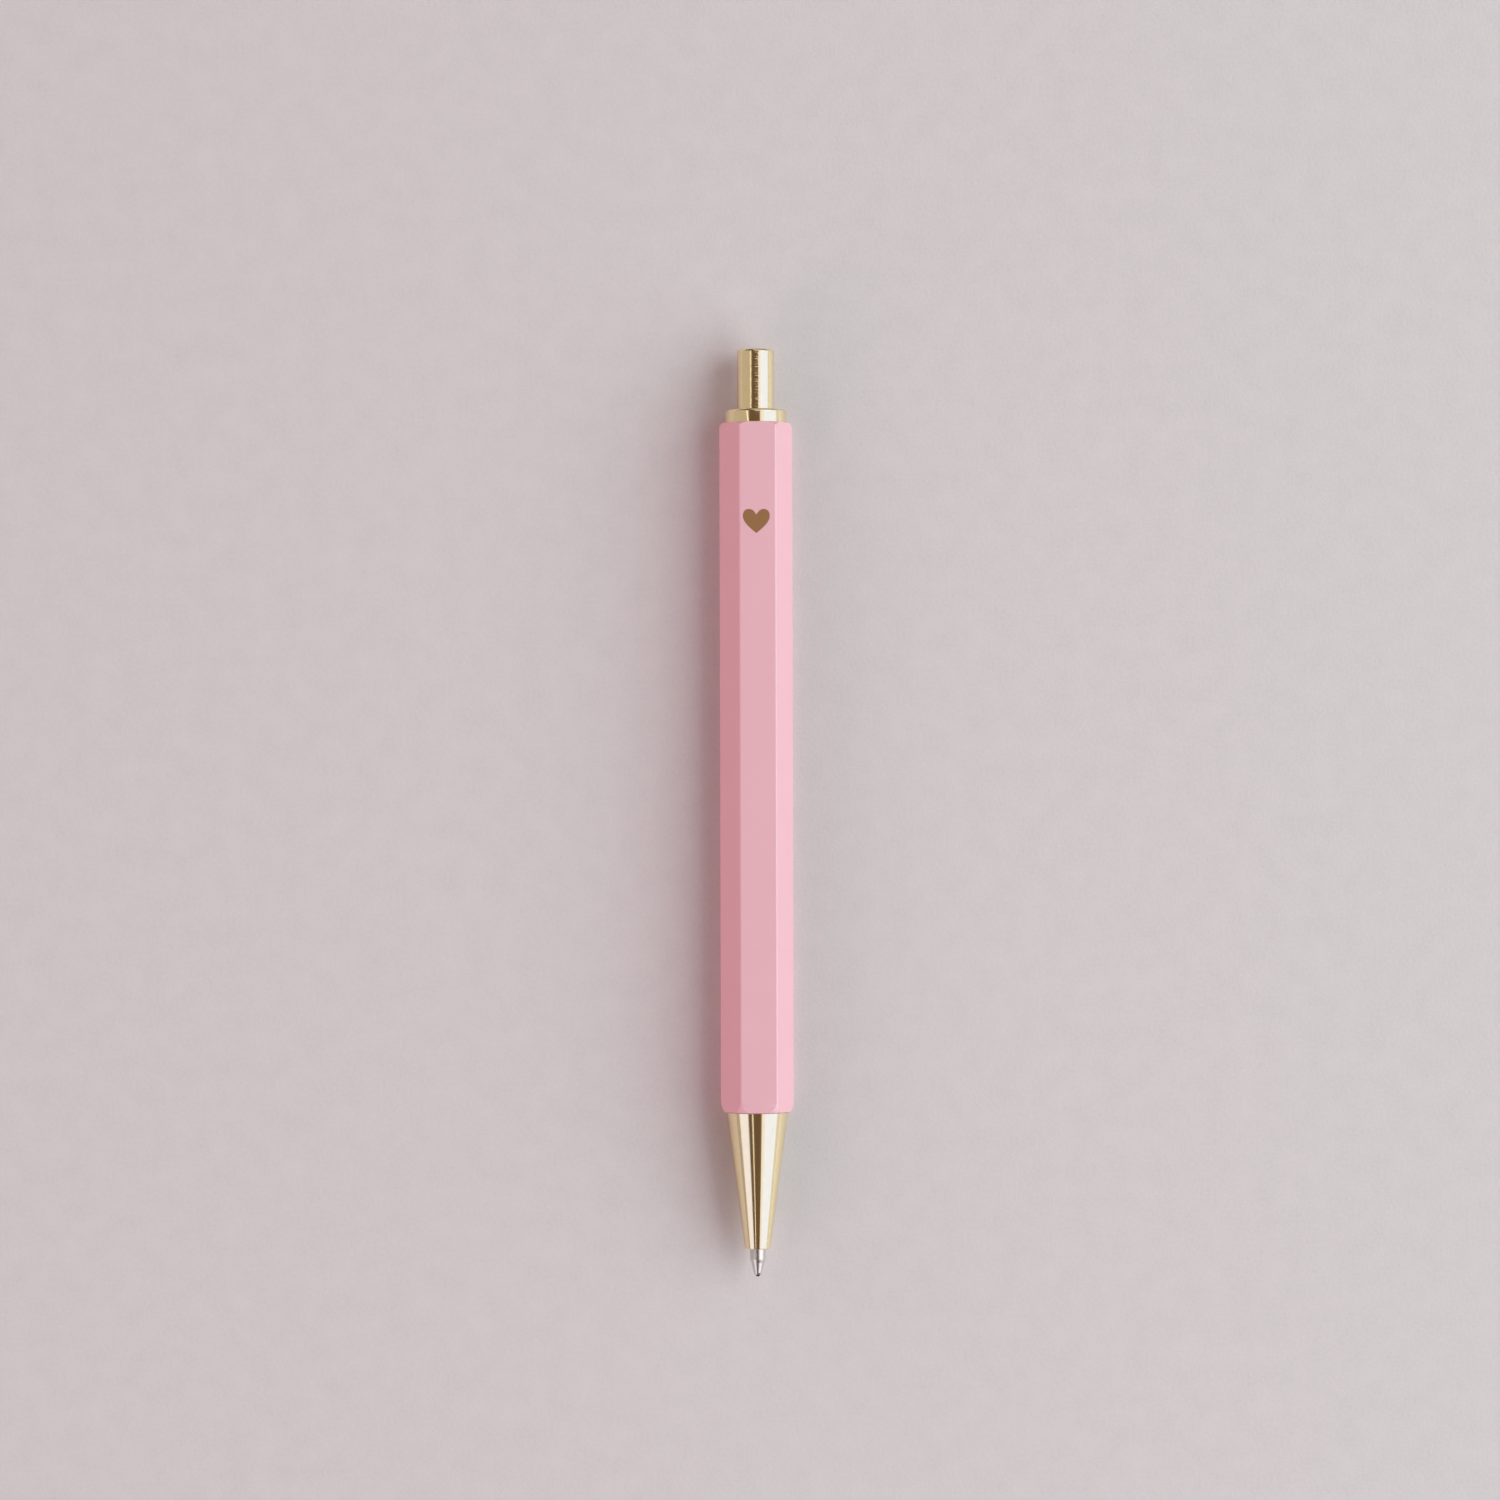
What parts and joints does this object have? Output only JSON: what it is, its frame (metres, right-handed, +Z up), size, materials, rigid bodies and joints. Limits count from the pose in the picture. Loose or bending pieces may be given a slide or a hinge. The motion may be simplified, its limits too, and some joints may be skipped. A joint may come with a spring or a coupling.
{
  "type": "push-button ballpoint pen",
  "caption": "Hexagonal push-button ballpoint pen with a lacquered barrel, gold nose cone, end collar and button; the click mechanism drives a sprung refill in and out.",
  "frame": {"origin": "on the supporting surface, below the middle of the pen's length", "axes": "+Y along the pen towards the button, +Z up from the flat it lies on, +X across the pen"},
  "size_m": [0.011, 0.139, 0.0095],
  "materials": {
    "barrel_lacquer": "satin",
    "gold_plate": "polished",
    "housing_plastic": "matte",
    "mechanism_plastic": "satin",
    "rotor_plastic": "satin",
    "spring_steel": "satin",
    "refill_plastic": "satin",
    "refill_steel": "satin",
    "ink": "gloss",
    "tip_nickel_silver": "polished",
    "ball_carbide": "polished"
  },
  "bodies": {
    "barrel": {"hex_barrel": "barrel_lacquer", "end_collar": "gold_plate", "cam_housing": "housing_plastic", "return_spring": "spring_steel"},
    "nose_cone": {"nose_cone": "gold_plate"},
    "button": {"push_button": "gold_plate", "plunger": "mechanism_plastic"},
    "rotor": {"rotor_cam": "rotor_plastic"},
    "refill": {"refill_nose": "refill_plastic", "refill_tube": "refill_steel", "refill_end_plug": "refill_plastic", "ink_column": "ink", "writing_tip": "tip_nickel_silver"},
    "ball": {"writing_ball": "ball_carbide"}
  },
  "joints": [
    {"name": "button_press", "type": "slide", "parent": "barrel", "child": "button", "axis": [0, -1, 0], "range_m": [-0.005, 0.0012], "stiffness_N_per_m": 300},
    {"name": "refill_slide", "type": "slide", "parent": "barrel", "child": "refill", "axis": [0, -1, 0], "range_m": [-0.005, 0.0012], "deforming": ["return_spring"]},
    {"name": "rotor_index", "type": "hinge", "parent": "button", "child": "rotor", "pos_m": [0, 0, 0.00477], "axis": [0, 1, 0], "range_deg": [-15, 60.5]},
    {"name": "nose_cone_unscrew", "type": "slide", "parent": "barrel", "child": "nose_cone", "axis": [0, -1, 0], "range_m": [0, 0.035]},
    {"name": "ball_roll", "type": "hinge", "parent": "refill", "child": "ball", "pos_m": [0, -0.06911, 0.00477], "axis": [1, 0, 0], "continuous": true}
  ],
  "couplings": [
    {"joint": "refill_slide", "follows": "button_press", "ratio": 1},
    {"joint": "rotor_index", "follows": "button_press", "rad_per_m": -209.44}
  ]
}
